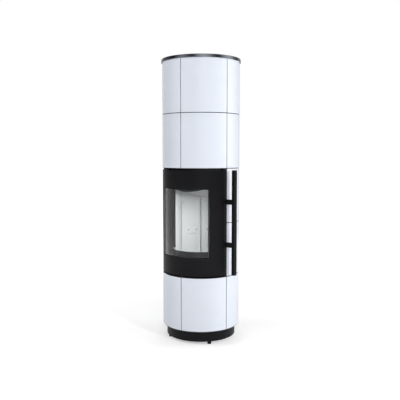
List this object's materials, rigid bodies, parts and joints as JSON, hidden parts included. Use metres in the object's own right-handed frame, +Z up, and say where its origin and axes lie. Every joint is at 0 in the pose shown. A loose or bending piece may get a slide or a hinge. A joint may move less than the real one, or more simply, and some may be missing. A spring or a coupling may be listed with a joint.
{
  "type": "tiled stove",
  "caption": "Tall round wood stove clad in curved glazed tiles, with a curved black glazed door, a bar handle, a firebox with grate and ash pan, a heat store and a dark top plate.",
  "frame": {"origin": "on the floor, on the upright axis of the round stove", "axes": "+Z up, the door faces -Y, +X to the right seen from the front"},
  "size_m": [0.5901, 0.5319, 1.871],
  "materials": {
    "glaze": "gloss",
    "stove_paint": "satin",
    "lid_paint": "gloss",
    "handle_paint": "satin",
    "bare_steel": "mill",
    "zinc_steel": "black zinc",
    "cast_iron": "cast",
    "fire_lining": "matt",
    "storage_stone": "cast",
    "glass": "clear",
    "rope": "woven"
  },
  "bodies": {
    "stove": {"air_deflector": "stove_paint", "air_duct": "bare_steel", "ash_floor": "stove_paint", "ash_pan": "bare_steel", "baffle_lower": "fire_lining", "baffle_upper": "fire_lining", "base_plate": "bare_steel", "deck_plate": "stove_paint", "door_catches": "bare_steel", "firebox_body": "stove_paint", "flue_pipe": "bare_steel", "flue_socket": "bare_steel", "hearth_plate": "stove_paint", "hearth_stone": "fire_lining", "heat_store": "storage_stone", "hinge_brackets": "bare_steel", "lining_back": "fire_lining", "lining_cheek_left": "fire_lining", "lining_cheek_right": "fire_lining", "lining_rear_left": "fire_lining", "lining_rear_right": "fire_lining", "lintel_ring": "stove_paint", "plinth_skirt": "stove_paint", "rear_panel": "stove_paint", "shelf_ring_middle": "stove_paint", "shelf_ring_upper": "stove_paint", "sill_plate": "stove_paint", "tile_1_front_left": "glaze", "tile_1_front_right": "glaze", "tile_1_side_left": "glaze", "tile_1_side_right": "glaze", "tile_2_side_left": "glaze", "tile_2_side_right": "glaze", "tile_3_side_left": "glaze", "tile_3_side_right": "glaze", "tile_4_front_left": "glaze", "tile_4_front_right": "glaze", "tile_4_side_left": "glaze", "tile_4_side_right": "glaze", "tile_5_front_left": "glaze", "tile_5_front_right": "glaze", "tile_5_side_left": "glaze", "tile_5_side_right": "glaze", "top_plate": "lid_paint", "top_ring": "stove_paint", "uprights": "bare_steel"},
    "door": {"door_skin": "stove_paint", "door_casing": "stove_paint", "door_strip": "stove_paint", "door_glass": "glass", "glass_tape": "rope", "door_seal": "rope", "handle_bar": "handle_paint", "handle_brackets": "handle_paint"},
    "air_control": {"air_slide": "bare_steel"},
    "fire_grate": {"grate": "cast_iron"},
    "levelling_foot_1": {"foot_1": "zinc_steel"},
    "levelling_foot_2": {"foot_2": "zinc_steel"},
    "levelling_foot_3": {"foot_3": "zinc_steel"},
    "levelling_foot_4": {"foot_4": "zinc_steel"}
  },
  "joints": [
    {"name": "door_swing", "type": "hinge", "parent": "stove", "child": "door", "pos_m": [-0.23022, -0.09999, 0.8], "axis": [0, 0, -1], "range_deg": [0, 100]},
    {"name": "air_lever", "type": "hinge", "parent": "stove", "child": "air_control", "pos_m": [0, 0, 0.45], "axis": [0, 0, 1], "range_deg": [-12, 12]},
    {"name": "grate_lift", "type": "slide", "parent": "stove", "child": "fire_grate", "axis": [0, 0, 1], "range_m": [0, 0.08]},
    {"name": "foot_1_turn", "type": "hinge", "parent": "stove", "child": "levelling_foot_1", "pos_m": [-0.15061, -0.15061, 0.05], "axis": [0, 0, 1], "continuous": true},
    {"name": "foot_2_turn", "type": "hinge", "parent": "stove", "child": "levelling_foot_2", "pos_m": [0.15061, -0.15061, 0.05], "axis": [0, 0, 1], "continuous": true},
    {"name": "foot_3_turn", "type": "hinge", "parent": "stove", "child": "levelling_foot_3", "pos_m": [0.15061, 0.15061, 0.05], "axis": [0, 0, 1], "continuous": true},
    {"name": "foot_4_turn", "type": "hinge", "parent": "stove", "child": "levelling_foot_4", "pos_m": [-0.15061, 0.15061, 0.05], "axis": [0, 0, 1], "continuous": true}
  ]
}
